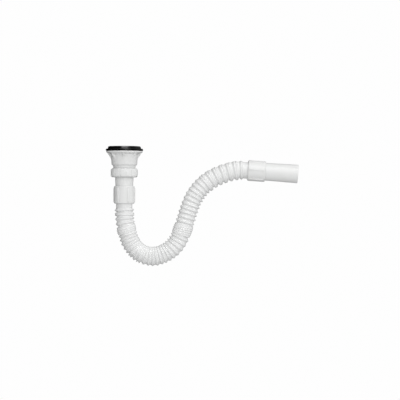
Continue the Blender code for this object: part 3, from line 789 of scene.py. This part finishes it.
def makeCup():
    shape = cupShape
    flange = high("waste_cup").x
    top = high("waste_cup").z
    neckEnd = low("waste_cup").z
    bottom = top - shape["depth"]
    slopeStart = top - shape["lip"]
    wallStart = slopeStart - shape["slope"]
    floorTop = bottom + shape["floor"]
    root = unionThread["rootRadius"]
    neck = unionThread["crestRadius"]
    outline = [
        (shape["topRadius"] - shape["wall"], top), (flange, top), (flange, slopeStart),
        (shape["topRadius"], wallStart),
        (shape["bottomRadius"], bottom + shape["bead"]), (shape["bottomRadius"] - shape["bead"], bottom),
        (neck, bottom), (neck, bottom - shape["plainNeck"]), (root, bottom - shape["plainNeck"] - 0.9 * mm),
        (root, neckEnd + 0.5 * mm), (root - 0.5 * mm, neckEnd), (shape["neckBore"], neckEnd),
        (shape["neckBore"], floorTop - 1.5 * mm),
        (shape["bottomRadius"] - shape["wall"] - 1.0 * mm, floorTop),
        (shape["bottomRadius"] - shape["wall"], floorTop + 1.0 * mm),
    ]
    piece = turnPiece("wasteCupMoulding", outline, 120)

    reach = flange - shape["gussetInset"]
    half = shape["gussetThick"] / 2
    gusset = addBlock("gussetPlate", (24.0 * mm, -half, wallStart - shape["gussetHeight"]),
                      (reach, half, slopeStart + 0.5 * mm))
    movePoints(gusset, lambda place: place.x > reach - mm and place.z < wallStart - 2 * mm,
               (0, 0, shape["gussetHeight"] + shape["slope"] - 0.6 * mm))
    cutWith(piece, ringOf(gusset, shape["gussets"]), "UNION")

    bossTop = top - shape["bossDrop"]
    bossBottom = bossTop - shape["bossHeight"]
    armTop = bossTop - (shape["bossHeight"] - shape["armHeight"]) / 2
    reach = shape["bottomRadius"] - shape["wall"] / 2
    for turn in (fullTurn / 8, 3 * fullTurn / 8):
        arm = addBlock("spiderArm", (-reach, -shape["armThick"] / 2, armTop - shape["armHeight"]),
                       (reach, shape["armThick"] / 2, armTop))
        arm.rotation_euler.z = turn
        bpy.ops.object.transform_apply(location=True, rotation=True, scale=True)
        cutWith(piece, arm, "UNION")
    cutWith(piece, addRod("screwBoss", shape["bossRadius"], bossBottom, bossTop), "UNION")
    pocket = addRod("insertPocket", shape["insertFlats"] / 2 / math.cos(math.pi / 6), bossBottom - mm,
                    bossBottom + shape["insertHeight"], 6)
    pocket.rotation_euler.z = math.pi / 6
    bpy.ops.object.transform_apply(location=True, rotation=True, scale=True)
    cutWith(piece, pocket)
    cutWith(piece, addRod("screwBore", shape["screwBore"], bossBottom, bossTop + mm, 48))
    roundEdges(piece, 0.35 * mm, 2, 32)

    thread = unionThread
    ridge = threadRidge("neckThread", thread["rootRadius"] - 0.1 * mm, thread["crestRadius"],
                        thread["footHalf"], thread["crestHalf"], thread["pitch"], neckEnd + thread["start"],
                        thread["turns"], thread["stepsPerTurn"])
    cutWith(piece, ridge, "UNION")
    smoothShade(piece)
    putOn(piece, "waste", "waste_cup", whitePlastic)


# Flat washer under the neck's end
washerShape = {"bore": 17.6 * mm, "edge": 0.35 * mm}


def makeWasher():
    outer = high("sealing_washer").x
    bottom = low("sealing_washer").z
    top = high("sealing_washer").z
    bore = washerShape["bore"]
    outline = [(bore, top), (outer, top), (outer, bottom), (bore, bottom)]
    piece = turnPiece("sealingWasherRubber", outline, 112)
    roundEdges(piece, washerShape["edge"], 3)
    smoothShade(piece)
    putOn(piece, "washer", "sealing_washer", sealRubber)


# Union nut, with its grip ribs and the thread inside
nutShape = {
    "radius": 24.3 * mm, "panels": 14, "stepsPerPanel": 12, "panelSteps": 10, "stand": 1.0 * mm,
    "chamfer": 1.5 * mm, "shoulder": 2.5 * mm, "hole": 17.8 * mm, "edge": 0.3 * mm, "phase": math.radians(-5),
}


def makeNut():
    shape = nutShape
    thread = unionThread
    bottom = low("union_nut").z
    top = high("union_nut").z
    radius = shape["radius"]
    chamfer = shape["chamfer"]
    outline = [
        (radius - chamfer, bottom), (radius, bottom + chamfer), (radius, top - chamfer),
        (radius - chamfer, top),
        (thread["nutRoot"] + 0.6 * mm, top), (thread["nutRoot"], top - 0.6 * mm),
        (thread["nutRoot"], bottom + shape["shoulder"]), (shape["hole"], bottom + shape["shoulder"]),
        (shape["hole"], bottom),
    ]
    steps = shape["panels"] * shape["stepsPerPanel"]
    piece = turnPiece("unionNutMoulding", outline, steps)
    half = (shape["panelSteps"] + 0.2) / 2 * fullTurn / steps
    raiseRibs(piece, shape["panels"], half, bottom + chamfer, top - chamfer, radius - 0.2 * mm,
              shape["stand"])

    def onPanelEnd(place, height):
        return abs(place.z - height) < 0.1 * mm and math.hypot(place.x, place.y) > radius + shape["stand"] / 2

    slope = 0.9 * shape["stand"]
    movePoints(piece, lambda place: onPanelEnd(place, bottom + chamfer), (0, 0, slope))
    movePoints(piece, lambda place: onPanelEnd(place, top - chamfer), (0, 0, -slope))
    selectOnly(piece)
    piece.rotation_euler.z = shape["phase"]
    bpy.ops.object.transform_apply(location=True, rotation=True, scale=True)
    roundEdges(piece, shape["edge"], 2, 25)
    ridge = threadRidge("nutThread", thread["nutRoot"] + 0.1 * mm, thread["nutCrest"], thread["footHalf"],
                        thread["nutCrestHalf"], thread["pitch"],
                        low("waste_cup").z + thread["nutStart"] + thread["pitch"] / 2, thread["nutTurns"],
                        thread["stepsPerTurn"])
    cutWith(piece, ridge, "UNION")
    smoothShade(piece)
    putOn(piece, "nut", "union_nut", whitePlastic)


# The two plain tubes: tailpiece and outlet spigot
tubeShape = {
    "rootRadius": 16.4 * mm, "topRadius": 17.2 * mm, "wall": 2.0 * mm, "collarThick": 2.0 * mm,
    "couplerLength": 33.0 * mm, "spigotShowing": 61.5 * mm, "socket": 15.2 * mm,
}


def makeTailpiece():
    shape = tubeShape
    top = high("tailpiece").z
    bottom = low("tailpiece").z
    collar = high("tailpiece").x
    mouth = bottom + shape["socket"]
    nutBottom = low("union_nut").z
    outline = [
        (shape["rootRadius"] - shape["wall"], bottom), (shape["rootRadius"], bottom),
        (shape["rootRadius"], mouth), (shape["topRadius"], nutBottom - mm),
        (shape["topRadius"], top - shape["collarThick"]), (collar, top - shape["collarThick"]),
        (collar, top), (shape["topRadius"] - shape["wall"], top),
    ]
    piece = turnPiece("tailpieceTube", outline, 112)
    roundEdges(piece, 0.4 * mm, 3)
    smoothShade(piece)
    putOn(piece, "trap", "tailpiece", whitePlastic)


# The hose's route from the inlet coupler's mouth, across and down in the plane of the trap, in millimetres
routePoints = (
    (0.0, 0.0), (1.3, -27.1), (5.4, -51.5), (14.0, -75.0), (30.6, -92.8), (54.5, -99.0),
    (77.4, -92.4), (95.3, -77.4), (107.1, -56.6), (114.7, -33.2), (122.1, -10.1), (131.2, 11.5),
    (144.6, 30.2), (162.0, 45.1), (183.5, 55.9), (207.3, 62.6), (231.9, 63.5),
)
outletTilt = math.radians(3.9)
couplerMouth = low("inlet_coupler").z
hoseEnd = (routePoints[-1][0] * mm, 0, couplerMouth + routePoints[-1][1] * mm)


# Turns a finished piece from the outlet's own frame to its place
def placeAtOutlet(piece):
    selectOnly(piece)
    piece.location = hoseEnd
    piece.rotation_euler = (0, math.pi / 2 + outletTilt, 0)
    bpy.ops.object.transform_apply(location=True, rotation=True, scale=True)


def placeAtInlet(piece):
    selectOnly(piece)
    piece.location = (0, 0, couplerMouth)
    bpy.ops.object.transform_apply(location=True, rotation=True, scale=True)


# Ribbed coupler and the rubber seal in it. Its own +Z runs from the hose towards the tube.
couplerShape = {
    "length": 33.0 * mm, "radius": 19.2 * mm, "bevel": 1.6 * mm, "ribs": 6, "stepsPerRib": 28, "ribSteps": 4,
    "stand": 1.35 * mm, "socket": 16.7 * mm, "socketDepth": 15.5 * mm, "stop": 2.0 * mm,
    "stopRadius": 13.8 * mm, "bore": 15.8 * mm, "groove": 17.4 * mm, "grooveHigh": 11.7 * mm,
    "grooveLow": 8.5 * mm, "edge": 0.2 * mm, "sealInner": 15.6 * mm, "sealDepth": 1.5 * mm,
    "sealWidth": 2.6 * mm,
}


def makeCoupler(end, phase, place):
    shape = couplerShape
    radius = shape["radius"]
    bevel = shape["bevel"]
    top = shape["length"]
    stopTop = top - shape["socketDepth"]
    stopBottom = stopTop - shape["stop"]
    outline = [
        (radius - bevel, 0), (radius, bevel), (radius, 2 * bevel), (radius, top - 2 * bevel),
        (radius, top - bevel), (radius - bevel / 2, top), (shape["socket"], top), (shape["socket"], stopTop),
        (shape["stopRadius"], stopTop), (shape["stopRadius"], stopBottom), (shape["bore"], stopBottom),
        (shape["bore"], shape["grooveHigh"]), (shape["groove"], shape["grooveHigh"]),
        (shape["groove"], shape["grooveLow"]),
        (shape["bore"], shape["grooveLow"]), (shape["bore"], 0),
    ]
    steps = shape["ribs"] * shape["stepsPerRib"]
    piece = turnPiece(end + "CouplerMoulding", outline, steps)
    half = (shape["ribSteps"] + 0.2) / 2 * fullTurn / steps
    raiseRibs(piece, shape["ribs"], half, 1.5 * bevel, top - 1.5 * bevel, radius - 0.2 * mm, shape["stand"])
    piece.rotation_euler.z = phase
    selectOnly(piece)
    bpy.ops.object.transform_apply(location=True, rotation=True, scale=True)
    roundEdges(piece, shape["edge"], 2, 25)
    smoothShade(piece)
    place(piece)
    putOn(piece, "trap", end + "_coupler", whitePlastic)

    inner = shape["sealInner"]
    bottom = shape["grooveLow"] + 0.3 * mm
    outline = [
        (inner, bottom), (inner + shape["sealDepth"], bottom),
        (inner + shape["sealDepth"], bottom + shape["sealWidth"]), (inner, bottom + shape["sealWidth"]),
    ]
    seal = turnPiece(end + "SealRubber", outline, 96)
    roundEdges(seal, 0.5 * mm, 3)
    smoothShade(seal)
    place(seal)
    putOn(seal, "trap", end + "_seal", sealRubber)


def makeSpigot():
    shape = tubeShape
    mouth = shape["couplerLength"]
    bottom = mouth - shape["socket"]
    end = mouth + shape["spigotShowing"]
    outline = [
        (shape["rootRadius"] - shape["wall"], bottom), (shape["rootRadius"], bottom),
        (shape["rootRadius"], mouth), (shape["topRadius"], end), (shape["topRadius"] - shape["wall"], end),
    ]
    piece = turnPiece("outletSpigotTube", outline, 112)
    roundEdges(piece, 0.45 * mm, 3)
    smoothShade(piece)
    placeAtOutlet(piece)
    putOn(piece, "trap", "outlet_spigot", whitePlastic)


# Bellows hose, in millimetres: a flat grid of faces, wrapped along the route over the pleats and back
# through the bore
hoseShape = {
    "cuffRadius": 15.3, "cuffWall": 1.5, "cuffShowing": 8.0, "cuffInside": 15.2, "slant": 5.3,
    "tipRadius": 18.2, "wall": 0.7, "bentPitch": 6.6, "shutPitch": 3.7, "sharpness": 0.985, "sides": 88,
    "openLean": 0.02, "shutLean": 0.085, "tipUneven": 0.15, "touching": 0.34, "apart": 0.66, "shallow": 0.1,
    "bulge": 0.5, "bulgeEnd": 1.1, "hollow": 1.3,
}
pleatRuns = (
    (1, "open"), (2, "shut"), (2, "open"), (4, "shut"), (5, "bent"), (2, "shut"), (1, "bent"),
    (2, "shut"), (8, "bent"), (4, "open"), (6, "shut"), (10, "open"), (6, "pair"), (1, "open"),
)
outerSteps = (0.0, 0.07, 0.15, 0.26, 0.37, 0.45, 0.5, 0.55, 0.63, 0.74, 0.85, 0.93)
innerSteps = (0.0, 0.25, 0.5, 0.75)


# The route as close points, with straight ends for the cuffs, and the distance along it of each
def routeCurve(steps=24):
    points = [np.array(point) for point in routePoints]
    outward = np.array((math.cos(outletTilt), -math.sin(outletTilt)))
    points = [points[0] + np.array((0, 24.0))] + points + [points[-1] + 25.0 * outward]
    curve = []
    for before, here, there, after in zip(points, points[1:], points[2:], points[3:]):
        for step in range(steps):
            t = step / steps
            curve.append(0.5 * (
                2 * here + (there - before) * t + (2 * before - 5 * here + 4 * there - after) * t * t
                + (3 * here - before - 3 * there + after) * t ** 3
            ))
    curve.append(points[-2])
    marks = np.concatenate(([0.0], np.cumsum(np.linalg.norm(np.diff(curve, axis=0), axis=1))))
    curve = np.array([points[1] + np.array((0, 60.0))] + curve + [curve[-1] + 60.0 * outward])
    marks = np.concatenate(([-60.0], marks, [marks[-1] + 60.0]))
    return curve, marks


# Each pleat's rising and falling face along the route, its lean and how far its tip stands out.
# A pair is two pleats that are shut towards each other and open on the outside.
def pleatFaces(length):
    shape = hoseShape
    shut = shape["shutPitch"] / 2
    bent = shape["bentPitch"] / 2
    counts = {state: sum(count for count, other in pleatRuns if other == state) for _, state in pleatRuns}
    taken = 2 * shut * counts["shut"] + 2 * bent * counts["bent"] + 2 * shut * counts["pair"]
    wide = (length - taken) / (2 * counts["open"] + 2 * counts["pair"])
    faces = {"open": [(wide, wide)], "shut": [(shut, shut)], "bent": [(bent, bent)],
             "pair": [(wide, shut), (shut, wide)]}
    pleats = []
    for run, (count, state) in enumerate(pleatRuns):
        for index in range(count):
            middle = 2 * index / max(count - 1, 1) - 1
            stand = shape["tipUneven"] * min(math.sin(len(pleats) * 1.9), 0)
            made = len(pleats)
            lean = (shape["openLean"] * math.sin(2.4 * made + 0.6), shape["openLean"] * math.cos(1.7 * made))
            if state == "shut":
                lean = (shape["shutLean"] * math.cos(run), shape["shutLean"] * math.sin(1.3 * run))
                stand = shape["bulge"] - shape["bulgeEnd"] * middle ** 2 if count > 3 else stand
            for rise, fall in faces[state]:
                pleats.append((rise, fall, lean, stand))
    pleats[0] = (*pleats[0][:2], (0.0, 0.0), 0.0)
    pleats[-1] = (*pleats[-1][:2], (0.0, 0.0), 0.0)
    return pleats


def makeHose():
    shape = hoseShape
    curve, marks = routeCurve()
    length = marks[-2]
    sides = shape["sides"]
    angles = np.linspace(0, fullTurn, sides + 1)

    def placeAt(distance):
        return np.stack([np.interp(distance, marks, curve[:, axis]) for axis in (0, 1)], axis=-1)

    def alongAt(distance):
        step = placeAt(distance + 3.0) - placeAt(distance - 3.0)
        return step / np.linalg.norm(step, axis=-1, keepdims=True)

    def bendAt(distance):
        before = alongAt(distance - 6.0)
        after = alongAt(distance + 6.0)
        return (before[..., 0] * after[..., 1] - before[..., 1] * after[..., 0]) / 12.0

    # One row: its distance, the face's run, how far up the fold it is, its lean and its stand
    pleats = pleatFaces(length - 2 * shape["cuffShowing"])
    outer = []
    inner = []

    def pleatRows(rows, steps):
        start = shape["cuffShowing"]
        for index, (rise, fall, lean, stand) in enumerate(pleats):
            before = pleats[max(index - 1, 0)]
            after = pleats[min(index + 1, len(pleats) - 1)]
            for step in steps:
                if index == 0 and step == 0.0:
                    continue
                up = 1 - abs(2 * step - 1)
                swing = math.sin(math.pi * (up - 0.5))
                fold = 0.5 + 0.5 * math.asin(shape["sharpness"] * swing) / math.asin(shape["sharpness"])
                fold = max(fold, 0.0) ** shape["hollow"]
                if step < 0.5:
                    distance = start + up * rise
                    run = rise * fold + 0.5 * (rise + before[1]) * (1 - fold)
                    other = before
                else:
                    distance = start + rise + (1 - up) * fall
                    run = fall * fold + 0.5 * (fall + after[0]) * (1 - fold)
                    other = after
                leanX, leanY = [a * (0.5 + up / 2) + b * (0.5 - up / 2) for a, b in zip(lean, other[2])]
                rows.append((distance, run, fold, leanX, leanY, stand * fold))
            start += rise + fall

    pleatRows(outer, outerSteps)
    pleatRows(inner, innerSteps)

    def radii(rows, inside):
        table = np.array(rows)
        distance, run, fold, leanX, leanY, stand = [column[:, None] for column in table.T]
        tip = shape["tipRadius"]
        slant = shape["slant"]
        shifted = distance + tip * (leanX * np.cos(angles) + leanY * np.sin(angles))
        half = np.clip(run * (1 - bendAt(distance) * np.cos(angles) * tip), 0.3 * slant, 0.92 * slant)
        depth = np.sqrt(slant ** 2 - half ** 2)
        if not inside:
            opening = np.clip((half / slant - shape["touching"]) / (shape["apart"] - shape["touching"]), 0, 1)
            depth = depth * (shape["shallow"] + (1 - shape["shallow"]) * opening ** 2 * (3 - 2 * opening))
        radius = tip + stand - depth * (1 - fold)
        if inside:
            radius = radius - np.minimum(shape["wall"] * slant / half, 2.5 * shape["wall"])
        return shifted, radius, np.broadcast_to(fold, radius.shape)

    def cuffRows(distances, radius):
        spread = np.array(distances)[:, None] + np.zeros_like(angles)
        return spread, np.full_like(spread, radius), np.full_like(spread, 0.5)

    cuff = shape["cuffRadius"]
    bore = cuff - shape["cuffWall"]
    hold = shape["cuffInside"]
    show = shape["cuffShowing"]
    parts = [
        cuffRows((-hold, -hold / 2, -0.5, show * 0.5, show - 0.4), cuff), radii(outer, False),
        cuffRows((length - show + 0.4, length - show * 0.5, length + 0.5, length + hold / 2, length + hold),
                 cuff),
        cuffRows((length + hold, length - show), bore), [block[::-1] for block in radii(inner, True)],
        cuffRows((show, -hold, -hold), bore),
    ]
    distance, radius, fold = [np.concatenate([part[index] for part in parts]) for index in range(3)]
    distance[-1] = distance[0]
    radius[-1] = radius[0]
    fold[-1] = fold[0]

    middle = placeAt(distance)
    along = alongAt(distance)
    across = radius * np.cos(angles)
    x = middle[..., 0] - along[..., 1] * across
    y = radius * np.sin(angles)
    z = middle[..., 1] + along[..., 0] * across
    points = np.stack((x, y, z), axis=-1) * mm
    points[..., 2] += couplerMouth

    rows = len(distance)
    bpy.ops.object.select_all(action="DESELECT")
    bpy.ops.mesh.primitive_grid_add(x_subdivisions=rows - 1, y_subdivisions=sides, size=2)
    piece = nameActive("bellowsHoseSkin")
    flat = np.empty(len(piece.data.vertices) * 3)
    piece.data.vertices.foreach_get("co", flat)
    flat = flat.reshape(-1, 3)
    row = np.rint((flat[:, 0] + 1) / 2 * (rows - 1)).astype(int)
    side = np.rint((flat[:, 1] + 1) / 2 * sides).astype(int)
    piece.data.vertices.foreach_set("co", points[row, side].ravel())
    mark = piece.data.attributes.new("fold", "FLOAT", "POINT")
    mark.data.foreach_set("value", fold[row, side].ravel())
    selectOnly(piece)
    editMode()
    tidyEdit()
    objectMode()
    smoothShade(piece, 100)
    putOn(piece, "trap", "bellows_hose", hosePlastic)
    print("hose wrapped:", len(piece.data.polygons), "faces over", len(pleats), "pleats")


makeLowerGasket()
makeUpperGasket()
makeStrainer()
makeScrew()
makeInsert()
print("waste fittings made")
makeCup()
print("cup made")
makeWasher()
makeNut()
makeTailpiece()
print("union made")
makeCoupler("inlet", math.radians(24), placeAtInlet)
makeCoupler("outlet", math.radians(-6), placeAtOutlet)
makeSpigot()
print("couplers made")
makeHose()
